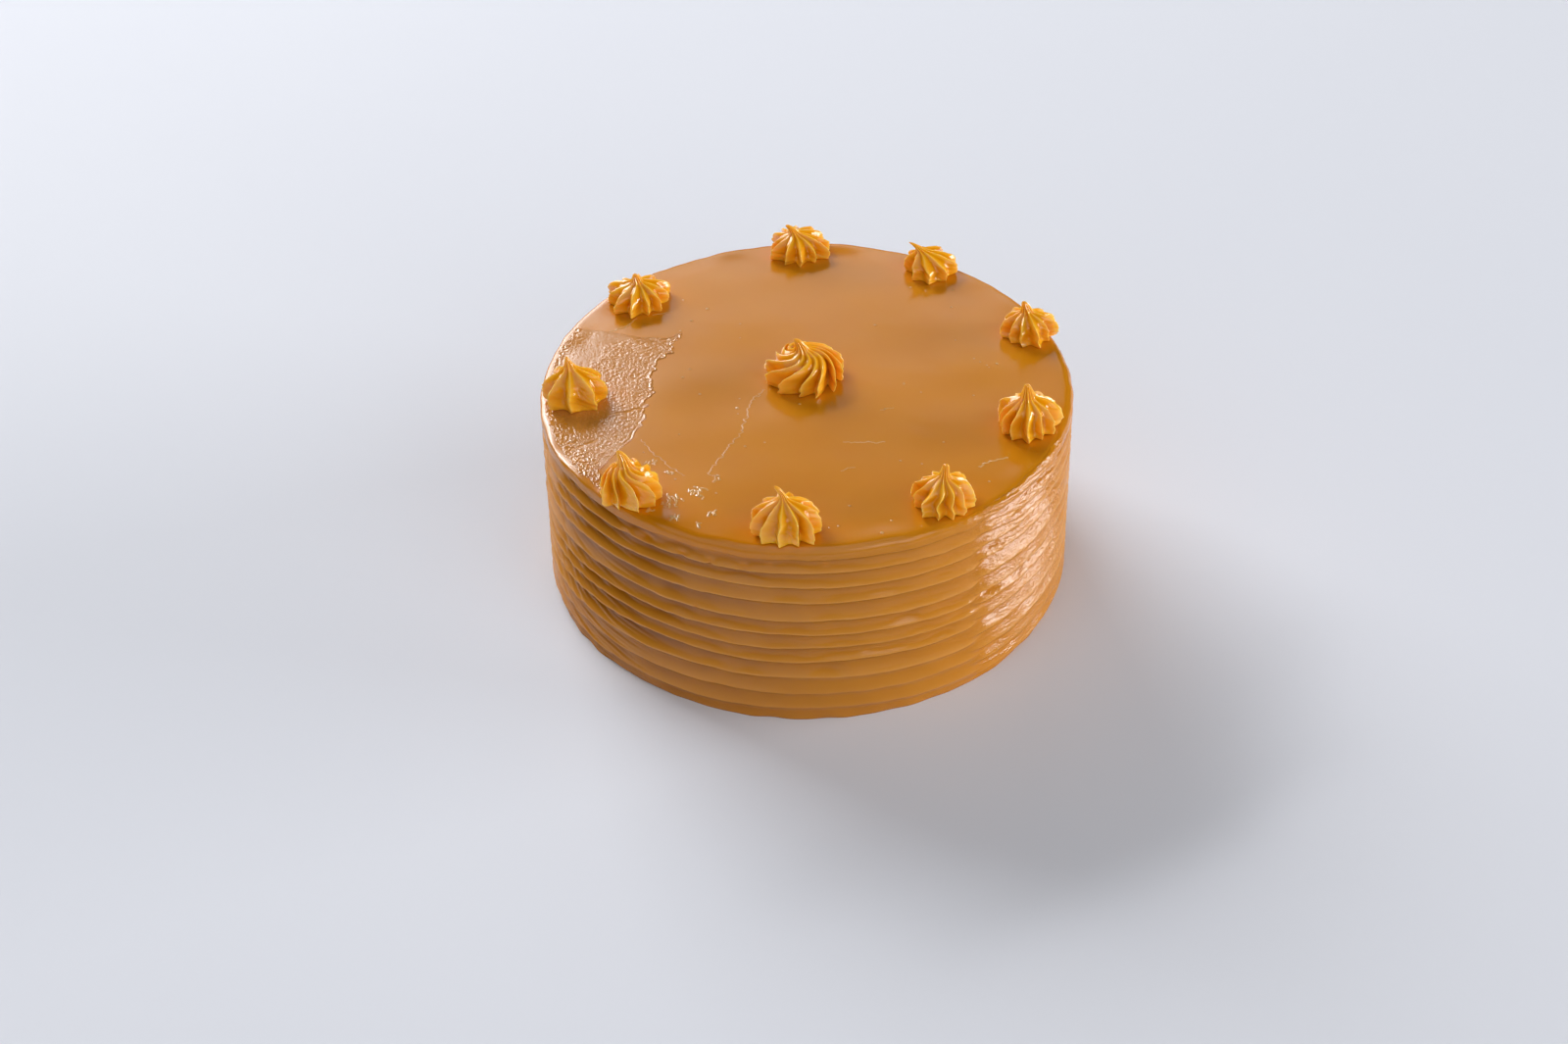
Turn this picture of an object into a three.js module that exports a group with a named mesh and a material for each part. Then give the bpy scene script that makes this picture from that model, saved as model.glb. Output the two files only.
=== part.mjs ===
// A round cake iced all over with thick caramel: a smooth top with a softly rounded edge,
// a side combed into level ridges, and star-piped rosettes near the edge and in the middle.
// Millimetres, +Z up, the foot flat on z = 0 and centred on the origin, the front towards -Y.
import * as THREE from "three";

// Cake body.
const CREST_RADIUS = 100.4;
const FOOT_RADIUS = 99.0;
const BODY_HEIGHT = 79.7;
const EDGE_ROUND = 5.4;
const EDGE_SETBACK = 0.4;
const EDGE_STEPS = 4;
const BODY_SEGMENTS = 80;

// Sharp crests left by the comb, as heights above the foot, and how deep the hollows between them are.
const CREST_HEIGHTS = [5.5, 12.6, 20.0, 27.8, 34.0, 40.1, 46.8, 55.0, 62.0, 68.6];
const HOLLOW_DEPTH = 1.3;
const FAINT_HOLLOW_DEPTH = 0.6;
const FAINT_HOLLOWS = 2;

// A crest and the hollow above it: share of the way to the next crest, share of the hollow's depth.
const HOLLOW_SHAPE = [
  [0.0, 0.0],
  [0.25, 0.75],
  [0.5, 1.0],
  [0.75, 0.75],
];

// How far the comb wandered up and down and the icing strays from round, and the waves that each
// is made of: waves in one turn, share, phase in radians, lag in radians from the foot to the top.
const COMB_DRIFT = 0.9;
const DRIFT_WAVES = [
  [2, 1.0, 0.5, 0],
  [5, 0.6, 1.3, 0],
  [9, 0.4, 0.0, 4],
];
const ROUND_ERROR = 0.35;
const ROUND_WAVES = [
  [2, 1.0, 2.2, 0],
  [3, 0.7, 0.4, 0],
  [7, 0.5, 0.0, 2],
];

// Rosettes: the gap under each keeps it clear of the icing that it sits on.
const ROSETTE_GAP = 0.3;
const POINTS_PER_FIN = 4;
const VALLEY_DEPTH = 0.28;
const LEAN_START = 0.3;
const LEAN_CURVE = 1.3;

// A rosette's outline from the foot to the tip: share of its half width, share of its height.
const ROSETTE_OUTLINE = [
  [0.0, 0.0],
  [0.8, 0.0],
  [0.95, 0.16],
  [1.0, 0.36],
  [0.9, 0.54],
  [0.64, 0.69],
  [0.33, 0.8],
  [0.12, 0.9],
  [0.0, 1.0],
];

// Each rosette: distance from the middle with bearing (degrees, anticlockwise from +X), full width
// with height, sideways lean of the tip, fins, first fin's bearing, turn of the fins down to the foot.
const ROSETTES = [
  { name: "rosette_1", at: [92.0, 91.5], size: [24.6, 12.4], lean: -4.2, fins: 12, first: 8, turn: 0 },
  { name: "rosette_2", at: [92.8, 56.8], size: [21.8, 13.0], lean: -8.6, fins: 9, first: 20, turn: 8 },
  { name: "rosette_3", at: [91.4, 20.3], size: [20.8, 14.9], lean: -2.4, fins: 11, first: 14, turn: 14 },
  { name: "rosette_4", at: [86.0, -18.9], size: [23.0, 18.6], lean: -0.9, fins: 12, first: 25, turn: 10 },
  { name: "rosette_5", at: [88.7, -57.3], size: [22.8, 17.5], lean: 0.9, fins: 12, first: 6, turn: 16 },
  { name: "rosette_6", at: [88.8, -94.6], size: [24.8, 19.2], lean: -3.1, fins: 12, first: 7, turn: 0 },
  { name: "rosette_7", at: [92.4, -133.3], size: [22.7, 19.5], lean: -3.3, fins: 11, first: 11, turn: 42 },
  { name: "rosette_8", at: [87.2, -176.0], size: [22.6, 17.9], lean: -2.2, fins: 8, first: 0, turn: 0 },
  { name: "rosette_9", at: [87.2, 138.5], size: [25.1, 12.4], lean: -1.4, fins: 11, first: 30, turn: 0 },
  { name: "rosette_centre", at: [4.3, 101.6], size: [30.4, 17.6], lean: -2.2, fins: 12, first: 5, turn: -64 },
];

const CAKE_ICING = { color: 0xbe7f36, roughness: 0.34, metalness: 0 };
const ROSETTE_ICING = { color: 0xcf8d2c, roughness: 0.3, metalness: 0 };

const radians = THREE.MathUtils.degToRad;

// The sum of waves round the cake at an angle, and at a level from 0 at the foot to 1 at the top.
function waveSum(waves, angle, level) {
  return waves.reduce((sum, [count, share, phase, lag]) => {
    return sum + share * Math.sin(count * angle + phase + lag * level);
  }, 0);
}

// Turns a profile about +Z, then moves each vertex by the given function.
function turned(profile, segments, move) {
  const geometry = new THREE.LatheGeometry(profile, segments);
  geometry.rotateX(Math.PI / 2);
  const position = geometry.getAttribute("position");
  const point = new THREE.Vector3();
  for (let i = 0; i < position.count; i += 1) {
    point.fromBufferAttribute(position, i);
    move(point);
    position.setXYZ(i, point.x, point.y, point.z);
  }
  geometry.computeVertexNormals();
  return geometry;
}

// The body's profile from the middle of the foot, up the ridges, over the edge, to the middle of the top.
function bodyProfile() {
  const profile = [new THREE.Vector2(0, 0), new THREE.Vector2(FOOT_RADIUS, 0)];
  const shoulder = BODY_HEIGHT - EDGE_ROUND;
  CREST_HEIGHTS.forEach((crest, i) => {
    const next = CREST_HEIGHTS[i + 1] ?? shoulder;
    const depth = i < FAINT_HOLLOWS ? FAINT_HOLLOW_DEPTH : HOLLOW_DEPTH;
    HOLLOW_SHAPE.forEach(([rise, cut]) => {
      profile.push(new THREE.Vector2(CREST_RADIUS - depth * cut, crest + rise * (next - crest)));
    });
  });
  for (let i = 0; i <= EDGE_STEPS; i += 1) {
    const angle = ((i / EDGE_STEPS) * Math.PI) / 2;
    const radius = CREST_RADIUS - EDGE_SETBACK - EDGE_ROUND * (1 - Math.cos(angle));
    profile.push(new THREE.Vector2(radius, shoulder + EDGE_ROUND * Math.sin(angle)));
  }
  profile.push(new THREE.Vector2(0, BODY_HEIGHT));
  return profile;
}

// Lets the ridges rise and fall and the body stray from round; the foot and the top stay flat.
function combByHand(point) {
  const angle = Math.atan2(point.y, point.x);
  const level = THREE.MathUtils.clamp(point.z / BODY_HEIGHT, 0, 1);
  const stray = 1 + (ROUND_ERROR * waveSum(ROUND_WAVES, angle, level)) / CREST_RADIUS;
  point.x *= stray;
  point.y *= stray;
  point.z += COMB_DRIFT * Math.sin(Math.PI * level) * waveSum(DRIFT_WAVES, angle, level);
}

// One rosette, standing on z = 0 about its own axis: sharp fins with hollow valleys between them,
// turned about the axis from the tip down, and drawn to one side at the tip.
function rosetteGeometry({ size: [width, height], lean, fins, first, turn }) {
  const profile = ROSETTE_OUTLINE.map(([out, rise]) => {
    return new THREE.Vector2((out * width) / 2, rise * height);
  });
  return turned(profile, fins * POINTS_PER_FIN, (point) => {
    const angle = Math.atan2(point.y, point.x);
    const rise = point.z / height;
    const fin = 1 - Math.abs(Math.sin((fins * angle) / 2));
    const radius = Math.hypot(point.x, point.y) * (1 - VALLEY_DEPTH * (1 - fin));
    const bearing = angle + radians(first + turn * (1 - rise));
    const drawn = lean * (Math.max(0, rise - LEAN_START) / (1 - LEAN_START)) ** LEAN_CURVE;
    point.x = radius * Math.cos(bearing) + drawn;
    point.y = radius * Math.sin(bearing);
  });
}

const group = new THREE.Group();

const cake = new THREE.Mesh(
  turned(bodyProfile(), BODY_SEGMENTS, combByHand),
  new THREE.MeshStandardMaterial(CAKE_ICING),
);
cake.name = "cake";
group.add(cake);

const topping = new THREE.Group();
topping.position.z = BODY_HEIGHT + ROSETTE_GAP;
group.add(topping);

for (const piece of ROSETTES) {
  const [out, bearing] = piece.at;
  const rosette = new THREE.Mesh(rosetteGeometry(piece), new THREE.MeshStandardMaterial(ROSETTE_ICING));
  rosette.name = piece.name;
  rosette.position.set(out * Math.cos(radians(bearing)), out * Math.sin(radians(bearing)), 0);
  topping.add(rosette);
}

export default group;
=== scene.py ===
"""Dresses the caramel-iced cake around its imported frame.

The cake is iced all over with thick, glossy caramel: a top spread smooth with a palette knife, a
side drawn through a comb in a few passes, and star-piped rosettes near the edge and in the middle.
Metres, +Z up; the front, where the camera stands, is towards -Y.
"""
import logging
import math
from collections.abc import Callable
from dataclasses import dataclass
from enum import Enum
from typing import Any

import bpy
import numpy as np
from bpy.types import Material, Mesh, Node, NodeSocket, NodeTree, Object
from mathutils import Matrix, Vector


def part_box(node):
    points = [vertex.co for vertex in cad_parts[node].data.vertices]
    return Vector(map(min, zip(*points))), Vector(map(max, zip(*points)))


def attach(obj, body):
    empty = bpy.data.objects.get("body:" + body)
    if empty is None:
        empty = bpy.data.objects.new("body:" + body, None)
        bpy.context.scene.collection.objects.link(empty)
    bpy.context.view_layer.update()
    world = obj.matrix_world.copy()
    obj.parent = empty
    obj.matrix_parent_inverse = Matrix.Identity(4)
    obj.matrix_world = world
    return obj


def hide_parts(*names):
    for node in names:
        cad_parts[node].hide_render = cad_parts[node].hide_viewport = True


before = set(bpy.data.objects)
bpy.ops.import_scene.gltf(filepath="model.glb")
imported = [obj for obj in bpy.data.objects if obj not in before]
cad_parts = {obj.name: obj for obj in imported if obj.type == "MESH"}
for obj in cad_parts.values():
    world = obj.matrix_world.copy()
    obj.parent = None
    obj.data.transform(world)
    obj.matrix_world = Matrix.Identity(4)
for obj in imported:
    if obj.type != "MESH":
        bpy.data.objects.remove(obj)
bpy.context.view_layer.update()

MM = 0.001
TURN = 2 * math.pi
HAIR = 0.01 * MM
BODY = "root"
LOG = logging.getLogger("caramel_cake")


class Slot(Enum):
    """The record's material slots."""

    CAKE = "cake_icing"
    ROSETTE = "rosette_icing"


def linear(code: str) -> tuple[float, float, float, float]:
    """Turns an sRGB hex colour into linear RGBA.

    Args:
        code: Six hex digits, such as "BE7F36".

    Returns:
        Red, green, blue and an alpha of 1, each from 0 to 1.
    """
    shares = [int(code[i : i + 2], 16) / 255 for i in (0, 2, 4)]
    red, green, blue = (s / 12.92 if s <= 0.04045 else ((s + 0.055) / 1.055) ** 2.4 for s in shares)
    return red, green, blue, 1.0


def add_node(
    tree: NodeTree, kind: str, inputs: dict[Any, Any] | None = None, **settings: Any
) -> Node:
    """Adds one node with its settings, values and links.

    Args:
        tree: The node tree that gets the node.
        kind: The node's type, such as "ShaderNodeBump".
        inputs: Input name or number to a value, or to the socket that feeds it.
        **settings: The node's own properties.

    Returns:
        The new node.
    """
    made = tree.nodes.new(kind)
    for name, value in settings.items():
        setattr(made, name, value)
    for key, value in (inputs or {}).items():
        if isinstance(value, NodeSocket):
            tree.links.new(value, made.inputs[key])
        else:
            made.inputs[key].default_value = value
    return made


def smooth(low: float, high: float, value: np.ndarray) -> np.ndarray:
    """Rises smoothly from 0 at low to 1 at high."""
    share = np.clip((value - low) / (high - low), 0, 1)
    return share * share * (3 - 2 * share)


def band(zone: tuple[float, float, float, float], value: np.ndarray) -> np.ndarray:
    """Rises smoothly between a zone's first two values and falls between its last two."""
    return smooth(*zone[:2], value) * (1 - smooth(*zone[2:], value))


def follow(knots: tuple[tuple[float, float], ...], value: np.ndarray) -> np.ndarray:
    """Reads a line that runs straight from knot to knot."""
    return np.interp(value, *np.array(knots, float).T)


def read_points(mesh: Mesh) -> np.ndarray:
    """Reads a mesh's vertices.

    Args:
        mesh: The mesh.

    Returns:
        Rows of x, y and z.
    """
    points = np.empty(len(mesh.vertices) * 3, np.float32)
    mesh.vertices.foreach_get("co", points)
    return points.reshape(-1, 3).astype(float)


def write_points(mesh: Mesh, points: np.ndarray) -> None:
    """Moves a mesh's vertices to the given rows of x, y and z."""
    mesh.vertices.foreach_set("co", points.astype(np.float32).ravel())
    mesh.update()


def write_share(mesh: Mesh, name: str, shares: np.ndarray) -> None:
    """Keeps a share from 0 to 1 for each vertex, for the mesh's material to read."""
    mesh.attributes.new(name, "FLOAT", "POINT").data.foreach_set("value", shares.astype(np.float32))


@dataclass
class Places:
    """Places on the cake.

    Attributes:
        x: How far to the right of the axis they are.
        y: How far behind it.
        z: How far above the foot, where that counts.
    """

    x: np.ndarray
    y: np.ndarray
    z: np.ndarray | None = None

    def __post_init__(self) -> None:
        """Works out the distances from the axis and the bearings, from the front to the right."""
        self.out = np.hypot(self.x, self.y)
        self.bearing = np.arctan2(self.x, -self.y)
        self.degrees = np.degrees(self.bearing)


@dataclass(frozen=True)
class Wander:
    """An uneven closed line round an axis, as hand work leaves it.

    Attributes:
        reach: About the largest distance from the even line.
        fewest: The fewest waves in one turn.
        most: The most waves in one turn.
        seed: Picks the line.
    """

    reach: float
    fewest: int
    most: int
    seed: int

    def at(self, angle: np.ndarray) -> np.ndarray:
        """Works out the line.

        Args:
            angle: Angles round the axis.

        Returns:
            The distance from the even line at each angle.
        """
        rng = np.random.default_rng(self.seed)
        total = np.zeros_like(angle)
        weight = 0.0
        for count in range(self.fewest, self.most + 1):
            share = rng.uniform(0.4, 1.0) / math.sqrt(count)
            total += share * np.sin(count * angle + rng.uniform(0, TURN))
            weight += share * share
        return self.reach * total / (1.6 * math.sqrt(weight))


@dataclass(frozen=True)
class Swell:
    """Uneven rise and fall over a flat surface.

    Attributes:
        reach: About the largest rise.
        longest: Longest distance between two rises.
        shortest: Shortest distance between two rises.
        seed: Picks the surface.
    """

    reach: float
    longest: float
    shortest: float
    seed: int

    WAVES = 14

    def at(self, x: np.ndarray, y: np.ndarray) -> np.ndarray:
        """Works out the surface.

        Args:
            x: Places across it.
            y: Places along it.

        Returns:
            The rise at each place.
        """
        rng = np.random.default_rng(self.seed)
        total = np.zeros_like(x)
        for _ in range(self.WAVES):
            pitch = math.exp(rng.uniform(math.log(self.shortest), math.log(self.longest)))
            heading = rng.uniform(0, TURN)
            place = math.cos(heading) * x + math.sin(heading) * y
            total += np.sin(TURN * place / pitch + rng.uniform(0, TURN))
        return self.reach * total / (1.1 * math.sqrt(self.WAVES))


@dataclass(frozen=True)
class Relief:
    """Fine relief in the skin of a finish.

    Attributes:
        size: Size of its grain.
        height: Its height.
        detail: How ragged it is.
        drawn: Its height as a share of its length, where it is drawn out level.
        share: The mesh's own share that says where it is, if it isn't everywhere.
    """

    size: float
    height: float
    detail: float
    drawn: float = 1.0
    share: str = ""

    def lay(self, tree: NodeTree, place: NodeSocket, under: dict[str, Any]) -> dict[str, Any]:
        """Lays the relief over what is there.

        Args:
            tree: The material's nodes.
            place: The piece's own coordinates.
            under: The shader's input for the relief so far.

        Returns:
            The shader's input for the relief with this one.
        """
        scale = (self.drawn, self.drawn, 1.0)
        along = add_node(tree, "ShaderNodeMapping", {"Vector": place, "Scale": scale}).outputs["Vector"]
        grain = {"Vector": along, "Scale": 1 / self.size, "Detail": self.detail}
        height = add_node(tree, "ShaderNodeTexNoise", grain).outputs["Fac"]
        if self.share:
            share = add_node(tree, "ShaderNodeAttribute", attribute_name=self.share).outputs["Fac"]
            limited = add_node(tree, "ShaderNodeMath", {0: share, 1: height}, operation="MULTIPLY")
            height = limited.outputs["Value"]
        inputs = {"Strength": 1.0, "Distance": self.height, "Height": height, **under}
        return {"Normal": add_node(tree, "ShaderNodeBump", inputs).outputs["Normal"]}


@dataclass(frozen=True)
class Finish:
    """What all finishes have: a mottled colour, fine relief, and light that soaks in.

    Attributes:
        name: The material's name.
        tone: The usual colour.
        blotch: The colour of its patches.
        patch: Size of the patches.
        detail: How ragged the patches are.
        roughness: Its roughness.
        ior: Index of refraction.
        soak: Share of the light that soaks in.
        soak_depth: How deep it soaks.
        soak_colour: Shares of that depth that red, green and blue reach.
        tints: The mesh's own shares, each with the colour that it lays over the rest.
        reliefs: Fine relief, the lowest first.
    """

    name: str
    tone: str
    blotch: str
    patch: float
    detail: float = 3.0
    roughness: float = 0.9
    ior: float = 1.5
    soak: float = 0.0
    soak_depth: float = 1.0 * MM
    soak_colour: tuple[float, float, float] = (1.0, 0.5, 0.15)
    tints: tuple[tuple[str, str], ...] = ()
    reliefs: tuple[Relief, ...] = ()

    def make(self) -> Material:
        """Builds the material.

        Returns:
            The new material.
        """
        material = bpy.data.materials.new(self.name)
        material.use_nodes = True
        tree = material.node_tree
        tree.nodes.clear()
        place = add_node(tree, "ShaderNodeTexCoord").outputs["Object"]
        spots = {"Vector": place, "Scale": 1 / self.patch, "Detail": self.detail}
        patches = add_node(tree, "ShaderNodeTexNoise", spots).outputs["Fac"]
        layers = [(patches, self.blotch)]
        for share, code in self.tints:
            read = add_node(tree, "ShaderNodeAttribute", attribute_name=share)
            layers.append((read.outputs["Fac"], code))
        colour: Any = linear(self.tone)
        for share, code in layers:
            colours = {"Factor": share, "A": colour, "B": linear(code)}
            colour = add_node(tree, "ShaderNodeMix", colours, data_type="RGBA").outputs["Result"]
        relief: dict[str, Any] = {}
        for fine in self.reliefs:
            relief = fine.lay(tree, place, relief)
        inputs = {
            "Base Color": colour,
            "Roughness": self.sheen(tree, patches),
            "IOR": self.ior,
            "Subsurface Weight": self.soak,
            "Subsurface Radius": self.soak_colour,
            "Subsurface Scale": self.soak_depth,
            **relief,
        }
        surface = add_node(tree, "ShaderNodeBsdfPrincipled", inputs)
        add_node(tree, "ShaderNodeOutputMaterial", {"Surface": surface.outputs["BSDF"]})
        return material

    def sheen(self, tree: NodeTree, patches: NodeSocket) -> Any:
        """Returns the roughness, here the same all over."""
        return self.roughness


@dataclass(frozen=True)
class SpreadCaramel(Finish):
    """Caramel icing, boiled thick and spread while warm: smooth, glossy, a little see-through.

    To the eye it is an even orange-brown that deepens to amber where the layer is thick. Painted shade
    darkens the comb's hollows and painted highlight pales its crests. Its wet sheen breaks into small
    facets where the comb dragged at it.

    Attributes:
        torn_roughness: Its roughness where the comb dragged at it.
    """

    name: str = "spread_caramel_icing"
    tone: str = "C3780C"
    blotch: str = "CF8512"
    patch: float = 34 * MM
    roughness: float = 0.21
    ior: float = 1.52
    soak: float = 0.12
    soak_depth: float = 2.0 * MM
    # Painted highlight pales the comb's crests and painted shade darkens its hollows; pooled icing is its
    # own amber.
    tints: tuple[tuple[str, str], ...] = (("crest", "D8943A"), ("shade", "8C4E04"), ("pooled", "CE7E00"))
    # The comb's fine strokes, and the facets that it tore.
    reliefs: tuple[Relief, ...] = (
        Relief(1.3 * MM, 0.06 * MM, 2.0, 0.04),
        Relief(0.8 * MM, 0.4 * MM, 3.0, 0.35, "dragged"),
    )
    torn_roughness: float = 0.13

    def sheen(self, tree: NodeTree, patches: NodeSocket) -> Any:
        """Returns the roughness, wetter where the comb dragged at the icing."""
        dragged = add_node(tree, "ShaderNodeAttribute", attribute_name="dragged").outputs["Fac"]
        return add_node(
            tree,
            "ShaderNodeMapRange",
            {"Value": dragged, "To Min": self.roughness, "To Max": self.torn_roughness},
        ).outputs["Result"]


@dataclass(frozen=True)
class DriedCaramel(Finish):
    """A film of caramel that air has dried: thin, wrinkled like leather, paler and less see-through.

    To the eye its many small facets each mirror a bit of the window, so it looks pale and sparkles.
    """

    name: str = "dried_caramel_film"
    tone: str = "BB7A2E"
    blotch: str = "C88434"
    patch: float = 12 * MM
    detail: float = 4.0
    roughness: float = 0.16
    ior: float = 1.56
    soak: float = 0.1
    # Drawn coarser than the real grain so that it shows.
    reliefs: tuple[Relief, ...] = (Relief(0.6 * MM, 0.09 * MM, 3.0, share="wrinkled"),)


@dataclass(frozen=True)
class PipedCaramel(Finish):
    """The same caramel icing, whipped a little lighter and pressed through a star nozzle.

    To the eye it is more golden than the spread icing; light soaks through its thin fins, and its wet
    skin gives small sharp highlights. Its valleys are painted darker as shade, and its fins' edges are
    painted paler as highlight and as light through the thin edges.

    Attributes:
        wettest: Its least roughness, the other one being its greatest.
    """

    name: str = "piped_caramel_icing"
    tone: str = "F8AB18"
    blotch: str = "FCB829"
    patch: float = 9 * MM
    roughness: float = 0.11
    ior: float = 1.52
    soak: float = 0.45
    soak_depth: float = 2.6 * MM
    soak_colour: tuple[float, float, float] = (1.0, 0.45, 0.12)
    # Painted shade darkens the valleys between the fins; painted highlight pales the fins' edges.
    tints: tuple[tuple[str, str], ...] = (("valley", "E49100"), ("fin", "FFC454"))
    reliefs: tuple[Relief, ...] = (Relief(0.7 * MM, 0.015 * MM, 2.0),)
    wettest: float = 0.06

    def sheen(self, tree: NodeTree, patches: NodeSocket) -> Any:
        """Returns the roughness, which goes with the patches."""
        ends = {"From Min": 0.3, "From Max": 0.7, "To Min": self.wettest, "To Max": self.roughness}
        return add_node(tree, "ShaderNodeMapRange", {"Value": patches, **ends}).outputs["Result"]


@dataclass(frozen=True)
class PalePaper(Finish):
    """A roll of pale studio paper: matt and almost even, a touch blue, with faint clouds."""

    name: str = "pale_studio_paper"
    tone: str = "DCDFE8"
    blotch: str = "E0E3EB"
    patch: float = 400 * MM
    detail: float = 2.0


def dress(piece: Object, material: Material, node: str | None = None) -> None:
    """Gives a finished piece its material and ties it to the frame.

    Args:
        piece: The piece, with its place in its mesh.
        material: Its finish.
        node: The CAD node that the piece stands for, if it does.
    """
    piece.data.materials.clear()
    piece.data.materials.append(material)
    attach(piece, BODY)
    if node:
        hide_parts(node)
    LOG.info("%s: %d faces, %s", piece.name, len(piece.data.polygons), material.name)


@dataclass(frozen=True)
class CombPass:
    """One draw of the comb along the side.

    Attributes:
        crests: Heights of the crests that its teeth left, in millimetres.
        depth: Depth of its hollows.
        deepest: Where a hollow is deepest, as a share of the way up to the next crest.
        bow: How hollow the long face is, from 1 for straight.
        drift: How the whole comb rose and fell.
        jitter: How far each crest strays by itself.
        ripple: How far each crest trembles.
        seed: Picks the strays and the depths.
    """

    crests: tuple[float, ...]
    depth: float
    deepest: float
    bow: float
    drift: Wander
    jitter: float
    ripple: float
    seed: int

    def cut(self) -> tuple[float, float, float]:
        """Returns the depth, the deepest share and the bow."""
        return self.depth, self.deepest, self.bow

    def lines(self, angle: np.ndarray) -> list[np.ndarray]:
        """Works out the crests.

        Args:
            angle: Angles round the axis.

        Returns:
            Each crest's height at each angle.
        """
        shared = self.drift.at(angle)
        return [
            crest * MM
            + shared
            + Wander(self.jitter, 3, 16, self.seed + i).at(angle)
            + Wander(self.ripple, 22, 64, self.seed + 200 + i).at(angle)
            for i, crest in enumerate(self.crests)
        ]


@dataclass(frozen=True)
class Pit:
    """A small hole torn in the icing of the side, with amber icing down in it.

    Attributes:
        bearing: Degrees to the right of the front.
        height: Height above the foot, in millimetres.
        wide: Its half width, in millimetres.
        tall: Its half height, in millimetres.
        depth: Its depth, in millimetres; below 0 for a blob.
    """

    bearing: float
    height: float
    wide: float
    tall: float
    depth: float

    def share(self, at: Places, radius: float) -> np.ndarray:
        """Works out the pit's shape.

        Args:
            at: The places.
            radius: The side's radius.

        Returns:
            1 in the middle of the pit, falling to 0 outside it.
        """
        across = radius * (at.bearing - math.radians(self.bearing)) / (self.wide * MM)
        up = (at.z - self.height * MM) / (self.tall * MM)
        return np.exp(-(across**2) - up**2)


@dataclass
class CakeBody:
    """The iced body: flat foot, combed side, rounded edge and smooth top.

    Attributes:
        node: The CAD node that it stands for.
        segments: Steps round the axis.
        edge_round: Radius of the rounded edge.
        edge_rows: Rows over that edge.
        edge_power: How the edge's curve bends, 2 being round.
        edge_tighter: What is added to that where the edge is tight.
        side_row: Height of a row of the side.
        top_row: Width of a ring of the top.
        faint: Share of the depth of the hollows next to the foot.
        faint_rows: Number of those hollows.
        crest_round: Radius that blunts the crests.
        slack: How far the even side stands inside the frame's box, as room for its unevenness.
        foot_inset: How far the foot is drawn in.
        foot_height: How high up that reaches.
        fall: How fast the top falls away on the left, in metres per square metre.
        fall_start: How far to the left that begins.
    """

    node: str = "cake"
    segments: int = 420
    edge_round: float = 3.5 * MM
    edge_rows: int = 14
    edge_power: float = 2.0
    edge_tighter: float = 2.5
    side_row: float = 0.46 * MM
    top_row: float = 2.2 * MM
    faint: float = 0.5
    faint_rows: int = 3
    crest_round: float = 0.12 * MM
    slack: float = 0.3 * MM
    foot_inset: float = 0.6 * MM
    foot_height: float = 3 * MM
    fall: float = 0.4
    fall_start: float = 38 * MM

    FRONT = CombPass(
        (-2.0, 5.5, 12.6, 20.0, 27.8, 34.0, 40.1, 46.8, 55.0, 62.0, 68.6, 74.8),
        *(1.7 * MM, 0.72, 1.5, Wander(0.7 * MM, 2, 9, 3), 0.45 * MM, 0.16 * MM, 30),
    )
    LEFT = CombPass(
        (-2.0, 4.2, 10.0, 16.6, 23.4, 30.2, 36.4, 43.0, 51.2, 58.6, 65.6, 73.6),
        *(2.9 * MM, 0.72, 1.6, Wander(0.8 * MM, 2, 9, 5), 0.5 * MM, 0.2 * MM, 50),
    )
    RIGHT = CombPass(
        (-2.0, 2.6, 8.6, 14.9, 21.9, 29.6, 35.8, 41.2, 48.0, 56.4, 62.2, 69.2, 75.0),
        *(2.5 * MM, 0.64, 1.05, Wander(0.8 * MM, 2, 9, 7), 0.5 * MM, 0.2 * MM, 70),
    )
    STRAY = Wander(0.4 * MM, 2, 7, 11)
    RIM = Wander(0.35 * MM, 5, 30, 13)
    LIP = Wander(0.28 * MM, 14, 70, 15)
    FRINGE = Wander(0.55 * MM, 5, 60, 17)
    SWELL = Swell(0.06 * MM, 80 * MM, 30 * MM, 19)
    KNIFE = Swell(0.008 * MM, 22 * MM, 8 * MM, 23)

    # Zones in degrees to the right of the front: where each begins, is full, begins to end and ends.
    FRONT_LINES = (-82, -38, 60, 120)
    FRONT_CUT = (-75, 0, 60, 120)
    LEFT_MEETING = (-85, -60, -46, -32)
    RIGHT_MEETING = (34, 44, 64, 80)
    RUN_OVER = (-52, -36, -16, 4)
    DRAGGED = (22, 52, 70, 84)
    TIGHT_EDGE = (-150, -115, -52, -30)

    # The same for pooled icing, thick and faint, in millimetres from the axis.
    POOL = (81, 89, 94, 97)
    FAINT_POOL = (82, 92, 93, 97)

    # The same for the shade in a hollow, in shares of the way up to the next crest.
    SHADED = (0.06, 0.8, 0.93, 1.0)

    # How deep the shade in the hollows is: degrees to the right of the front, share.
    GLOOM = (
        *((-180, 0.4), (-90, 0.9), (-40, 1.0), (-22, 0.74), (2, 0.3)),
        *((30, 0.14), (60, 0.26), (90, 0.4), (180, 0.4)),
    )
    PITS = (
        Pit(-36.0, 70.0, 4.2, 1.5, 1.0),
        Pit(-27.0, 69.4, 1.9, 1.3, 0.9),
        Pit(-20.5, 69.0, 1.0, 2.0, 1.0),
        Pit(-13.5, 69.6, 1.6, 1.5, 0.7),
        Pit(-41.0, 68.4, 2.2, 1.3, 0.8),
        Pit(-8.0, 71.4, 1.1, 0.9, 0.5),
        Pit(3.5, 72.2, 1.3, 0.8, 0.4),
        Pit(-24.0, 47.4, 0.9, 0.8, 0.4),
        Pit(12.0, 30.6, 0.9, 0.7, 0.35),
        Pit(54.0, 27.0, 1.0, 0.9, 0.5),
        Pit(50.0, 6.2, 1.1, 0.8, 0.5),
        Pit(-84.0, 46.0, 1.6, 2.4, -1.2),
    )

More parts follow.
